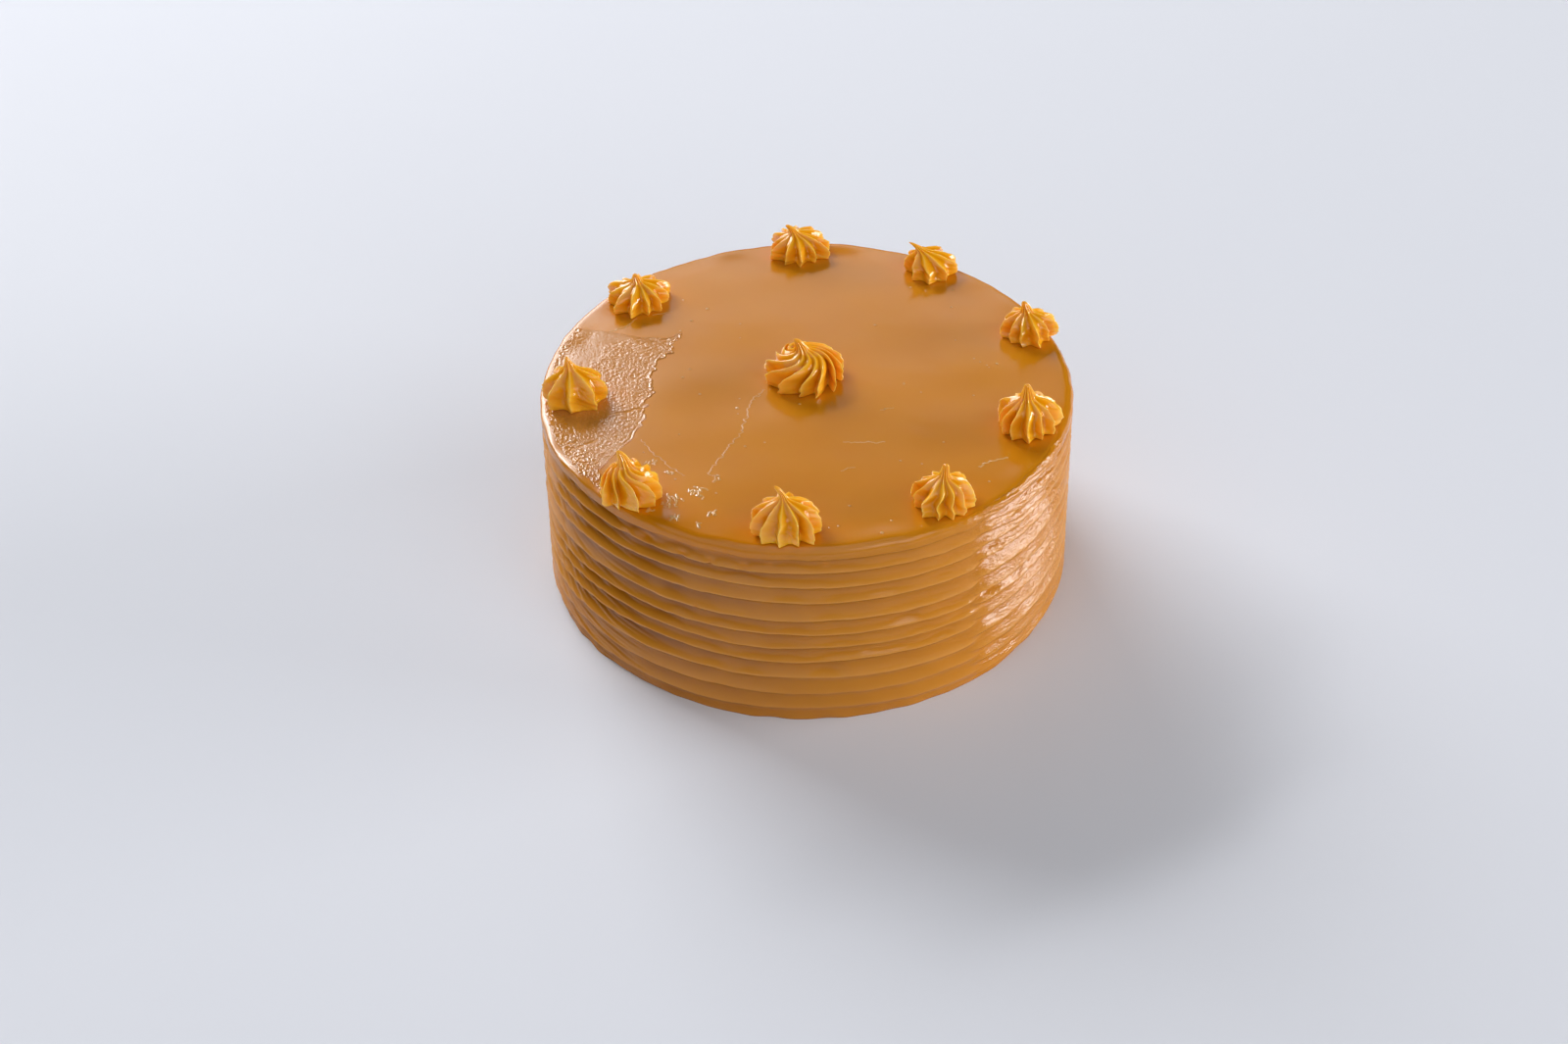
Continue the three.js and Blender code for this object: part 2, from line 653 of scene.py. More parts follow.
    def __post_init__(self) -> None:
        """Takes the main sizes from the frame."""
        low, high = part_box(self.node)
        self.height = high.z
        self.radius = (high.x - low.x + high.y - low.y) / 4 - self.slack
        self.shoulder = self.height - self.edge_round
        self.inner = self.radius - self.edge_round

    def build(self, material: Material) -> None:
        """Models and dresses the body.

        Args:
            material: The spread icing.
        """
        piece = self.turn_profile()
        self.spread(piece.data)
        bpy.ops.object.shade_smooth()
        dress(piece, material, self.node)

    def profile(self) -> list[tuple[float, float]]:
        """Sets out the profile.

        Returns:
            Radius and height from the middle of the foot over the side to the middle of the top.
        """
        corners = [(0.0, 0.0), (self.radius, 0.0), (self.radius, self.shoulder / 2)]
        for i in range(self.edge_rows + 1):
            angle = math.pi / 2 * i / self.edge_rows
            across, up = self.edge_round * math.cos(angle), self.edge_round * math.sin(angle)
            corners.append((self.inner + across, self.shoulder + up))
        return [*corners, (0.0, self.height)]

    def turn_profile(self) -> Object:
        """Extrudes the profile as a chain of edges, divides it into rows and spins it about the axis.

        Returns:
            The body, still even all round.
        """
        rows = self.profile()
        bpy.ops.object.select_all(action="DESELECT")
        bpy.ops.mesh.primitive_plane_add(size=MM, location=(0, 0, 0))
        piece = bpy.context.object
        piece.name = piece.data.name = "iced_body"
        bpy.ops.object.mode_set(mode="EDIT")
        bpy.ops.mesh.select_all(action="SELECT")
        bpy.ops.mesh.merge(type="CENTER")
        for (radius, height), (next_radius, next_height) in zip(rows, rows[1:]):
            step = (next_radius - radius, 0, next_height - height)
            bpy.ops.mesh.extrude_region_move(TRANSFORM_OT_translate={"value": step})
        self.divide(piece, self.upright, round(self.shoulder / 2 / self.side_row))
        self.divide(piece, self.on_top, round(self.inner / self.top_row))
        bpy.ops.mesh.select_all(action="SELECT")
        bpy.ops.mesh.spin(steps=self.segments, angle=TURN, center=(0, 0, 0), axis=(0, 0, 1))
        bpy.ops.mesh.select_all(action="SELECT")
        bpy.ops.mesh.remove_doubles(threshold=HAIR)
        bpy.ops.mesh.normals_make_consistent(inside=False)
        bpy.ops.object.mode_set(mode="OBJECT")
        return piece

    def upright(self, one: Vector, two: Vector) -> bool:
        """Tells from an edge's two ends whether it stands upright."""
        return abs(one.x - two.x) < HAIR

    def on_top(self, one: Vector, two: Vector) -> bool:
        """Tells from an edge's two ends whether it lies level on the top."""
        return abs(one.z - two.z) < HAIR and one.z > self.shoulder

    def divide(self, piece: Object, chosen: Callable[[Vector, Vector], bool], rows: int) -> None:
        """Divides the profile's chosen edges into rows.

        Args:
            piece: The profile, in edit mode.
            chosen: Tells from an edge's two ends whether it is divided.
            rows: How many rows each becomes.
        """
        bpy.ops.mesh.select_all(action="DESELECT")
        bpy.ops.mesh.select_mode(type="EDGE")
        bpy.ops.object.mode_set(mode="OBJECT")
        for edge in piece.data.edges:
            one, two = (piece.data.vertices[i].co for i in edge.vertices)
            edge.select = chosen(one, two)
        bpy.ops.object.mode_set(mode="EDIT")
        bpy.ops.mesh.subdivide(number_cuts=rows - 1)
        bpy.ops.mesh.select_mode(type="VERT")

    def spread(self, mesh: Mesh) -> None:
        """Works the icing by hand: combs the side, wavers the edge and smooths the top unevenly.

        Args:
            mesh: The even body.
        """
        at = Places(*read_points(mesh).T)
        on_side = at.out > self.inner
        share = np.clip(at.out / self.radius, 0, 1)
        cut, shade, crest = self.comb(at)
        torn = np.zeros_like(at.z)
        for pit in self.PITS:
            hole = pit.share(at, self.radius) * on_side
            cut = cut + pit.depth * MM * hole
            torn = np.maximum(torn, hole * (pit.depth > 0))
        foot = np.clip(1 - at.z / self.foot_height, 0, 1)
        edge = self.near_edge(at) * smooth(self.shoulder - 6 * MM, self.shoulder + 2 * MM, at.z)
        moved = at.out - (cut + self.streaks(at)) * on_side
        moved += self.STRAY.at(at.bearing) * share**2
        moved += (self.FRINGE.at(at.bearing) - self.foot_inset) * foot**2 * (share > 0.9)
        moved += self.LIP.at(at.bearing) * edge
        over = np.where(at.z > self.shoulder, self.edge_height(at.out, at.degrees), at.z)
        lifted = over + self.RIM.at(at.bearing) * edge
        lifted += smooth(self.shoulder, self.height, over) * self.top_rise(at.x, at.y)
        scale = np.where(at.out > 0, moved / np.maximum(at.out, 1e-9), 1)
        write_points(mesh, np.column_stack([at.x * scale, at.y * scale, lifted]))
        # Shares for the material: painted shade in the hollows, painted highlight on the crests, pooled
        # amber icing, and where the comb dragged.
        write_share(mesh, "shade", np.clip(shade, 0, 1) * on_side)
        write_share(mesh, "crest", np.clip(crest, 0, 1) * on_side)
        write_share(mesh, "pooled", np.maximum(self.pool(at), 0.9 * torn))
        write_share(mesh, "dragged", self.dragged(at) * on_side)

    def near_edge(self, at: Places) -> np.ndarray:
        """Returns a share that rises from 0 inside the edge to 1 where it begins to round."""
        return smooth(self.radius - 3 * self.edge_round, self.inner, at.out)

    def top_rise(self, x: np.ndarray, y: np.ndarray) -> np.ndarray:
        """Returns how far the top stands above or below its even height at each place."""
        left = np.clip(-x - self.fall_start, 0, None)
        return self.SWELL.at(x, y) + self.KNIFE.at(x, y) - self.fall * left**2

    def comb(self, at: Places) -> tuple[np.ndarray, np.ndarray, np.ndarray]:
        """Draws the comb round the side in three passes that meet at the front left and front right.

        Args:
            at: The places.

        Returns:
            At each place the depth below the crests, the share of painted shade and the share of painted
            highlight on the crests.
        """
        behind = smooth(-0.8, 0.8, np.sin(at.bearing))
        onward = np.where(np.abs(at.degrees) > 90, behind, smooth(35, 41, at.degrees))
        left = (1 - onward) * self.hollows(self.LEFT, self.FRONT, at)
        right = onward * self.hollows(self.RIGHT, self.RIGHT, at)
        cut, shade, crest = left + right
        return np.sqrt(cut**2 + self.crest_round**2) - self.crest_round, shade, crest

    def hollows(self, one: CombPass, other: CombPass, at: Places) -> np.ndarray:
        """Cuts a pass: between every two crests a long face that looks up and a short one under the next.

        Args:
            one: The pass.
            other: The pass that it goes over into at the front.
            at: The places.

        Returns:
            Rows of depth, painted shade and painted crest highlight.
        """
        over, later = band(self.FRONT_LINES, at.degrees), band(self.FRONT_CUT, at.degrees)
        lines = [a + (b - a) * over for a, b in zip(one.lines(at.bearing), other.lines(at.bearing))]
        full, deepest, bow = (a + (b - a) * later for a, b in zip(one.cut(), other.cut()))
        gloom = follow(self.GLOOM, at.degrees)
        cut, shade, crest = (np.zeros_like(at.z) for _ in range(3))
        for i, (low, high) in enumerate(zip(lines, lines[1:])):
            depth = self.faint if i < self.faint_rows else 1.0
            depth = depth * (1 + Wander(0.3, 2, 9, one.seed + 100 + i).at(at.bearing))
            depth = depth * (1 + Wander(0.2, 16, 48, one.seed + 300 + i).at(at.bearing))
            share = (at.z - low) / (high - low)
            within = (share >= 0) & (share <= 1)
            below = np.clip((deepest - share) / deepest, 0, 1) ** bow
            above = np.clip((share - deepest) / (1 - deepest), 0, 1) ** 2
            cut = np.where(within, full * depth * (1 - np.maximum(below, above)), cut)
            # Painted shade, deepest just under the crest above.
            painted_shade = band(self.SHADED, share)
            shade = np.where(within, painted_shade * np.clip(depth, 0, 1.2) * gloom, shade)
            # Painted highlight along the crests at both ends of the hollow.
            bright = 0.5 * np.exp(-((share / 0.24) ** 2)) + 0.6 * np.exp(-((share / 0.07) ** 2))
            bright = bright + smooth(0.95, 1.0, share)
            crest = np.where(within, bright * np.clip(depth, 0.3, 1), crest)
        return np.stack([cut, shade, crest])

    def streaks(self, at: Places) -> np.ndarray:
        """Drags fine lines where the comb's passes meet.

        Args:
            at: The places.

        Returns:
            The depth of the lines.
        """
        right = band(self.RIGHT_MEETING, at.degrees) * smooth(50 * MM, 64 * MM, at.z)
        left = band(self.LEFT_MEETING, at.degrees)
        left = left * (0.35 + 0.65 * (1 - smooth(16 * MM, 36 * MM, at.z)))
        slant = at.z + 0.1 * self.radius * at.bearing + Wander(0.5 * MM, 5, 20, 29).at(at.bearing)
        lines = np.sin(TURN * slant / (1.7 * MM)) + 0.6 * np.sin(TURN * slant / (2.9 * MM) + 1.0)
        return MM * lines * (0.15 * right + 0.17 * left)

    def pool(self, at: Places) -> np.ndarray:
        """Lets the icing pool inside the edge and, at the front left, run over it.

        Args:
            at: The places.

        Returns:
            The share of pooled icing.
        """
        out, height = at.out / MM, at.z / MM
        thick = band(self.POOL, out)
        faint = 0.35 * band(self.FAINT_POOL, out)
        run = smooth(86, 92, out) * smooth(71.5, 74.5, height)
        return np.maximum(np.maximum(thick, run) * band(self.RUN_OVER, at.degrees), faint) * (height > 70)

    def dragged(self, at: Places) -> np.ndarray:
        """Finds where the comb's last pass dragged at the icing, at the front right.

        Args:
            at: The places.

        Returns:
            The share of dragged icing.
        """
        slanted = at.degrees + 14 * (at.z / self.height - 0.5)
        uneven = Wander(5.0, 5, 40, 43).at(at.bearing + 9 * at.z / self.radius)
        return band(self.DRAGGED, slanted + uneven) * (at.z < self.shoulder + 3 * MM)

    def edge_height(self, out: np.ndarray, degrees: np.ndarray) -> np.ndarray:
        """Rounds the edge, tighter on the left.

        Args:
            out: Distances from the axis.
            degrees: Bearings.

        Returns:
            The height of the even top and its edge.
        """
        power = self.edge_power + self.edge_tighter * band(self.TIGHT_EDGE, degrees)
        past = np.clip((out - self.radius) / self.edge_round + 1, 0, 1)
        return self.shoulder + self.edge_round * (1 - past**power) ** (1 / power)

    def surface(self, x: np.ndarray, y: np.ndarray) -> np.ndarray:
        """Works out the top for what lies on it.

        Args:
            x: Places to the right of the axis.
            y: Places behind it.

        Returns:
            The height of the top at each place, over the rounded edge too.
        """
        at = Places(x, y)
        edge = self.near_edge(at)
        stray = self.STRAY.at(at.bearing) * np.clip(at.out / self.radius, 0, 1) ** 2
        even = self.edge_height(at.out - stray - self.LIP.at(at.bearing) * edge, at.degrees)
        flat = smooth(self.shoulder, self.height, even)
        return even + self.RIM.at(at.bearing) * edge + flat * self.top_rise(x, y)


@dataclass(frozen=True)
class Crease:
    """A thin raised line in the skin of the top.

    Attributes:
        points: Places that it runs through, in millimetres.
        half: Its half width, in millimetres.
        rise: Its height, in millimetres.
        jag: How far it strays to its sides, in millimetres.
        seed: Picks the strays.
    """

    points: tuple[tuple[float, float], ...]
    half: float
    rise: float
    jag: float
    seed: int

    STEP = 0.3 * MM
    SUNK = 0.15 * MM
    SECTION = (0.0, 0.6, 1.0, 0.6, 0.0)

    def path(self) -> np.ndarray:
        """Draws the line through its given points, with small strays to its sides.

        Returns:
            Rows of x and y along the line, one a step.
        """
        knots = np.array(self.points) * MM
        run = np.concatenate([[0.0], np.cumsum(np.hypot(*np.diff(knots, axis=0).T))])
        steps = np.arange(0, run[-1], self.STEP)
        line = np.column_stack([np.interp(steps, run, knots[:, i]) for i in (0, 1)])
        noise = np.random.default_rng(self.seed).normal(0, 1.2, (len(steps) + 4, 2))
        stray = sum(noise[i : i + len(steps)] for i in range(5)) / 5
        return line + stray * self.jag * MM

    def lay(self, body: CakeBody) -> Object:
        """Lays the line on the top as a narrow strip whose borders dip under the icing.

        Args:
            body: The cake that it lies on.

        Returns:
            The strip.
        """
        path = self.path()
        ahead = np.gradient(path, axis=0)
        ahead /= np.maximum(np.hypot(*ahead.T), 1e-9)[:, None]
        beside = np.column_stack([-ahead[:, 1], ahead[:, 0]])
        steps, rows = len(path) - 1, len(self.SECTION) - 1
        cuts = {"x_subdivisions": steps, "y_subdivisions": rows}
        bpy.ops.mesh.primitive_grid_add(**cuts, size=MM, location=(0, 0, 0))
        piece = bpy.context.object
        x, y, _ = read_points(piece.data).T
        along = np.rint((x / MM + 0.5) * steps).astype(int)
        across = np.rint((y / MM + 0.5) * rows).astype(int)
        place = path[along] + beside[along] * ((across / rows - 0.5) * 2 * self.half * MM)[:, None]
        share = np.sin(math.pi * np.clip(along / steps, 0, 1)) ** 0.5
        uneven = 0.7 + 0.3 * np.random.default_rng(self.seed + 1).uniform(-1, 1, len(path))[along]
        lift = np.array(self.SECTION)[across] * self.rise * MM * share * uneven
        sunk = np.where((across == 0) | (across == rows), self.SUNK, 0.0)
        write_points(piece.data, np.column_stack([place, body.surface(*place.T) + lift - sunk]))
        return piece


@dataclass(frozen=True)
class DriedFilm:
    """The film that has dried on the left of the top, wrinkled like leather and torn along its border.

    Attributes:
        across: Steps from the inner border to the edge.
        along: Steps from its far end to its near end.
        far: Bearing of its far end, in degrees to the right of the front.
        near: Bearing of its near end.
        thick: Its thickness.
        wrinkle: Height of its wrinkles.
        roll: How far its border has rolled up.
        fold: Depth of its two folds.
        sunk: How deep its border dips under the icing.
    """

    across: int = 180
    along: int = 440
    far: float = -126
    near: float = -46
    thick: float = 0.14 * MM
    wrinkle: float = 0.13 * MM
    roll: float = 0.24 * MM
    fold: float = 0.3 * MM
    sunk: float = 0.25 * MM

    # Its two borders, and the line past which it is smooth: bearing, millimetres from the axis.
    EDGE = ((-126, 60), (-120, 63.5), (-117, 72), (-116, 84), (-115, 92), (-114, 98.3), (-46, 98.3))
    CALM = ((-119, 66), (-116, 74), (-109, 80.5), (-100, 82.4), (-95, 86), (-90, 100), (-46, 100))
    BORDER = (
        *((-126, 59), (-113, 56), (-102, 59), (-87, 57.3), (-76, 62)),
        *((-69.6, 64), (-62.3, 72.4), (-60, 80), (-55.8, 91), (-46, 97)),
    )
    FOLDS = (((-74, -18), (-60, -14)), ((-88, -40), (-77, -33)))

    def lay(self, body: CakeBody, material: Material) -> None:
        """Lays the film as a fine grid, wrinkles it and tucks its borders under the icing.

        Args:
            body: The cake that it lies on.
            material: The dried icing.
        """
        bpy.ops.object.select_all(action="DESELECT")
        steps = {"x_subdivisions": self.along, "y_subdivisions": self.across}
        bpy.ops.mesh.primitive_grid_add(**steps, size=1, location=(0, 0, 0))
        piece = bpy.context.object
        piece.name = piece.data.name = "dried_film"
        u, v, _ = (read_points(piece.data) + 0.5).T
        degrees = self.far + (self.near - self.far) * u
        bearing = np.radians(degrees)
        inner = follow(self.BORDER, degrees) * MM + Wander(1.3 * MM, 25, 150, 41).at(bearing)
        outer = follow(self.EDGE, degrees) * MM + Wander(0.8 * MM, 25, 120, 45).at(bearing)
        out = outer + v * (inner - outer)
        x, y = out * np.sin(bearing), -out * np.cos(bearing)
        border = np.minimum(np.minimum(v, 1 - v) * (outer - inner), np.minimum(u, 1 - u) * body.radius)
        laid = smooth(0, 0.5 * MM, border)
        past = out - follow(self.CALM, degrees) * MM + Wander(1.5 * MM, 20, 90, 47).at(bearing)
        wrinkled = 1 - 0.85 * smooth(-1.5 * MM, 2 * MM, past)
        wrinkled = np.maximum(wrinkled, 0.8 * smooth(94 * MM, 96.5 * MM, out))
        beads = 0.65 + Wander(0.45, 120, 260, 49).at(bearing + 3 * (v > 0.5))
        roll = self.roll * beads * np.exp(-(((border - 0.75 * MM) / (0.45 * MM)) ** 2))
        roll = roll * np.where(v > 0.5, 1, 0.3)
        raised = laid * (self.thick + self.wrinkles(x, y) * wrinkled) + roll * wrinkled
        height = body.surface(x, y) + raised - (1 - laid) * self.sunk
        write_points(piece.data, np.column_stack([x, y, height]))
        write_share(piece.data, "wrinkled", wrinkled)
        bpy.ops.object.shade_smooth()
        dress(piece, material)

    def wrinkles(self, x: np.ndarray, y: np.ndarray) -> np.ndarray:
        """Wrinkles the film: sharp crests between shallow bowls, of two sizes, and two folds.

        Args:
            x: Places to the right of the axis.
            y: Places behind it.

        Returns:
            The height of the wrinkles.
        """
        coarse = 1 - np.abs(Swell(1.0, 5.0 * MM, 2.0 * MM, 51).at(x + 0.4 * y, y))
        fine = 1 - np.abs(Swell(1.0, 1.9 * MM, 0.9 * MM, 53).at(x + 0.4 * y, y))
        near_edge = 1 + 1.8 * smooth(86 * MM, 97 * MM, np.hypot(x, y))
        height = self.wrinkle * near_edge * (0.55 * coarse + 0.45 * fine - 0.5)
        stray = Swell(0.5 * MM, 9 * MM, 3 * MM, 57).at(x, y)
        for start, end in np.array(self.FOLDS) * MM:
            length = np.hypot(*(end - start))
            run = (end - start) / length
            along = np.clip((x - start[0]) * run[0] + (y - start[1]) * run[1], 0, length)
            away = np.hypot(x - start[0] - along * run[0], y - start[1] - along * run[1] + stray)
            height = height - self.fold * np.exp(-((away / (0.4 * MM)) ** 2))
        return height


@dataclass(frozen=True)
class TopMarks:
    """The small marks in the top: cracks, wrinkles and tiny blisters.

    Attributes:
        blisters: Number of tiny blisters strewn over the top.
        smallest: Radius of the smallest blister.
        largest: Radius of the largest one strewn.
        flat: Height of a blister as a share of its radius.
        seed: Picks their places.
    """

    blisters: int = 45
    smallest: float = 0.3 * MM
    largest: float = 0.6 * MM
    flat: float = 0.35
    seed: int = 61

    CRACK = ((-16, -3), (-21, -11), (-23, -25), (-25, -32), (-30, -41), (-35.5, -54), (-33, -59))
    CREASES = (
        Crease(CRACK, 0.3, 0.12, 0.8, 201),
        Crease(((-61, -34), (-58, -40), (-54, -45), (-50, -51), (-44, -57)), 0.3, 0.1, 0.5, 203),
        Crease(((12, -55), (14.5, -52.5), (17.5, -52)), 0.4, 0.16, 0.4, 227),
        Crease(((27, -17), (33, -15.5)), 0.35, 0.07, 0.4, 229),
        Crease(((62, -52.5), (67, -49), (73, -47)), 0.7, 0.08, 0.5, 231),
        Crease(((13, -37), (29, -37)), 0.5, 0.03, 0.4, 233),
        Crease(((-60, 48), (-52, 50)), 0.4, 0.12, 0.3, 235),
        Crease(((-78, 36), (-70, 40), (-66, 46)), 0.4, 0.12, 0.5, 237),
    )

    # Crumpled places: x, y, reach, all in millimetres, and number of folds.
    CLUSTERS = (
        *((-48.0, -70.0, 2.8, 18), (-40.2, -66.5, 2.4, 14), (-33.8, -77.5, 1.6, 6)),
        *((-47.5, -81.2, 1.6, 7), (-39.4, -85.0, 1.0, 4), (-51.0, -54.5, 0.9, 4)),
        *((-56.5, -76.0, 1.0, 5), (-56.5, -47.0, 1.6, 5), (-32.5, -58.5, 1.2, 4)),
    )

    # Blisters that stand out: x, y, radius, all in millimetres.
    BLISTERS = (
        *((-26.0, -14.7, 0.8), (-46.8, 5.3, 0.55), (-44.4, 43.5, 0.6), (-38.5, 51.6, 0.7)),
        *((29.0, -16.3, 0.5), (49.9, -37.5, 0.5), (33.8, -48.6, 0.5), (42.8, -5.8, 0.45)),
        *((29.6, -83.9, 0.5), (25.9, -91.0, 0.7)),
    )

    def build(self, body: CakeBody, material: Material) -> None:
        """Models and dresses the lines and the blisters.

        Args:
            body: The cake that they lie on.
            material: The dried icing, painted paler than the film: partly its own colour, partly painted
                highlight on the raised marks.
        """
        bpy.ops.object.select_all(action="DESELECT")
        strips = [crease.lay(body) for crease in (*self.CREASES, *self.crumple())]
        self.finish(strips, "top_creases", material)
        self.finish(self.raise_blisters(body), "top_blisters", material)

    def crumple(self) -> list[Crease]:
        """Crumples the skin.

        Returns:
            The short folds of each crumpled place.
        """
        rng = np.random.default_rng(self.seed + 1)
        folds = []
        for x, y, reach, count in self.CLUSTERS:
            for i in range(count):
                middle = np.array((x, y)) + rng.normal(0, reach / 1.4, 2)
                heading = rng.uniform(0.6, 2.6)
                half = rng.uniform(0.6, 1.7) * np.array((math.cos(heading), math.sin(heading)))
                bent = middle + rng.normal(0, 0.55, 2)
                points = tuple(tuple(place) for place in (middle - half, bent, middle + half))
                folds.append(Crease(points, rng.uniform(0.4, 0.7), rng.uniform(0.22, 0.4), 0.1, 300 + i))
        return folds

    def raise_blisters(self, body: CakeBody) -> list[Object]:
        """Models one blister as a flat dome and copies it to each place.

        Args:
            body: The cake that they lie on.

        Returns:
            The blisters.
        """
        rng = np.random.default_rng(self.seed)
        out = (body.radius - 8 * MM) * np.sqrt(rng.uniform(0, 1, self.blisters))
        bearing = rng.uniform(0, TURN, self.blisters)
        size = rng.uniform(self.smallest, self.largest, self.blisters)
        strewn = np.column_stack([out * np.sin(bearing), -out * np.cos(bearing), size])
        bpy.ops.mesh.primitive_ico_sphere_add(subdivisions=2, radius=1.0, location=(0, 0, 0))
        model = bpy.context.object
        bpy.ops.object.mode_set(mode="EDIT")
        bpy.ops.mesh.select_all(action="SELECT")
        bpy.ops.transform.resize(value=(1.0, 1.0, self.flat))
        bpy.ops.object.mode_set(mode="OBJECT")
        dome = read_points(model.data)
        pieces = []
        for x, y, radius in (*np.array(self.BLISTERS) * MM, *strewn):
            piece = model if not pieces else model.copy()
            if pieces:
                piece.data = model.data.copy()
                bpy.context.collection.objects.link(piece)
            ground = float(body.surface(np.array([x]), np.array([y]))[0])
            write_points(piece.data, dome * radius + (x, y, ground))
            pieces.append(piece)
        return pieces

    def finish(self, parts: list[Object], name: str, material: Material) -> None:
        """Joins parts into one smooth piece and dresses it.

        Args:
            parts: The parts.
            name: The piece's name.
            material: Its finish.
        """
        bpy.ops.object.select_all(action="DESELECT")
        for part in parts:
            part.select_set(True)
        bpy.context.view_layer.objects.active = parts[0]
        bpy.ops.object.join()
        piece = bpy.context.object
        piece.name = piece.data.name = name
        bpy.ops.object.shade_smooth()
        dress(piece, material)


@dataclass
class PipedRosette:
    """One rosette pressed from a star nozzle and pulled off to a tip.

    Attributes:
        node: The CAD node that it stands for.
        fins: Number of fins.
        first: Bearing of the first fin, in degrees anticlockwise from +X.
        turn: Turn of the fins from the tip down to the foot, in degrees anticlockwise from above.
        lean: How far the tip is drawn to the right.
        hook: How far the very tip then curls over to the right.
        steep: Share of a tent's straight slope in the outline, the rest being a dome.
        knob: How thick the tip is left, from 0 for a thread to 1 for a blunt end.
        valley: Depth of the faces between the fins, as a share of the radius.
        sway: How far the fins sway on their way down, in degrees.
        seed: Picks the hand's own unevenness.
        rolled: How round the fins are on the shoulder, from 0 for sharp to 1 for rolls.
    """

    node: str
    fins: int
    first: float
    turn: float
    lean: float
    hook: float
    steep: float
    knob: float
    valley: float
    sway: float
    seed: int
    rolled: float = 0.0

    POINTS = 8
    SHARP = 0.75
    RIDGE = 2.4
    CREASED = 0.45
    FLARE = 1.03
    SINK = 0.5 * MM
    SHOULDER = 0.38
    NECK = 0.76

    # Share of the half width and share of the height, from the foot to just under the tip.
    OUTLINE = (
        *((0.92, 0.0), (0.97, 0.07), (1.0, 0.17), (1.0, 0.28), (0.96, 0.38), (0.86, 0.475), (0.68, 0.56)),
        *((0.45, 0.63), (0.22, 0.69), (0.105, 0.75), (0.075, 0.83), (0.068, 0.91), (0.055, 0.975)),
    )

    def build(self, body: CakeBody, material: Material) -> None:
        """Models and dresses the rosette.

        Args:
            body: The cake that it stands on.
            material: The piped icing.
        """
        low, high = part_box(self.node)
        middle = (low + high) / 2
        foot = body.height + float(body.top_rise(np.array([middle.x]), np.array([middle.y]))[0])
        self.base = foot - self.SINK
        self.tall = high.z - self.base
        self.half = (high.y - low.y) / 2 * self.FLARE
        past = max(0.0, (high.x - low.x) / 2 - self.half)
        self.centre = middle.x - math.copysign(past, self.lean), middle.y
        piece = self.press()
        self.work(piece.data)
        bpy.ops.object.shade_smooth()
        dress(piece, material, self.node)

    def press(self) -> Object:
        """Presses an upright star of icing through its rings and pulls it off at the tip.

        Returns:
            The rosette about the origin, straight and even.
        """
        count = self.fins * self.POINTS
        bpy.ops.object.select_all(action="DESELECT")
        bpy.ops.mesh.primitive_circle_add(
            vertices=count, radius=self.half, fill_type="NGON", location=(0, 0, 0)
        )
        piece = bpy.context.object
        piece.name = piece.data.name = self.node.replace("rosette", "piped_rosette")
        self.cut_star(piece)
        out, rise = self.OUTLINE[0]
        bpy.ops.object.mode_set(mode="EDIT")
        bpy.ops.mesh.select_all(action="SELECT")
        bpy.ops.transform.resize(value=(out, out, 1), center_override=(0, 0, 0))
        for next_out, next_rise in self.OUTLINE[1:]:
            step = (next_rise - rise) * self.tall
            bpy.ops.mesh.extrude_region_move(TRANSFORM_OT_translate={"value": (0, 0, step)})
            scale = next_out / out
            bpy.ops.transform.resize(value=(scale, scale, 1), center_override=(0, 0, 0))
            out, rise = next_out, next_rise
        bpy.ops.mesh.extrude_region_move(TRANSFORM_OT_translate={"value": (0, 0, (1 - rise) * self.tall)})
        bpy.ops.mesh.merge(type="CENTER")
        bpy.ops.mesh.select_all(action="SELECT")
        bpy.ops.mesh.normals_make_consistent(inside=False)
        bpy.ops.object.mode_set(mode="OBJECT")
        self.crease_fins(piece)
        bpy.ops.object.modifier_add(type="SUBSURF")
        rounding = piece.modifiers[-1]
        rounding.levels = rounding.render_levels = 2
        bpy.ops.object.modifier_apply(modifier=rounding.name)
        return piece

    def cut_star(self, piece: Object) -> None:
        """Draws the round of the nozzle in between its points, to rounded fins and broad valleys.

        Args:
            piece: The round.
        """
        for step in range(1, self.POINTS // 2 + 1):
            for item in (*piece.data.polygons, *piece.data.edges):
                item.select = False
            for vertex in piece.data.vertices:
                place = vertex.index % self.POINTS
                vertex.select = min(place, self.POINTS - place) == step
            scale = 1 - self.valley * (1 - float(self.star(np.array(step / self.POINTS))))
            bpy.ops.object.mode_set(mode="EDIT")
            bpy.ops.mesh.select_mode(type="VERT")
            bpy.ops.transform.resize(value=(scale, scale, 1), center_override=(0, 0, 0))
            bpy.ops.object.mode_set(mode="OBJECT")

    def star(self, phase: np.ndarray) -> np.ndarray:
        """Returns 1 along the fins, falling to 0 in the middle of the faces between them."""
        blunt = np.abs(np.cos(math.pi * phase)) ** self.RIDGE
        return self.SHARP * (1 - np.abs(np.sin(math.pi * phase))) + (1 - self.SHARP) * blunt

    def crease_fins(self, piece: Object) -> None:
        """Keeps the fins' edges crisp under the rounding.

        Args:
            piece: The pressed star.
        """
        x, y, _ = read_points(piece.data).T
        phase = (np.arctan2(y, x) - math.atan2(y[0], x[0])) * self.fins / TURN
        on_fin = (np.abs(phase - np.round(phase)) < 0.02) & (np.hypot(x, y) > HAIR)
        for item in (*piece.data.vertices, *piece.data.polygons):
            item.select = False
        for edge in piece.data.edges:
            one, two = edge.vertices
            edge.select = bool(on_fin[one] and on_fin[two])
        bpy.ops.object.mode_set(mode="EDIT")
        bpy.ops.mesh.select_mode(type="EDGE")
        bpy.ops.transform.edge_crease(value=self.CREASED)
        bpy.ops.object.mode_set(mode="OBJECT")

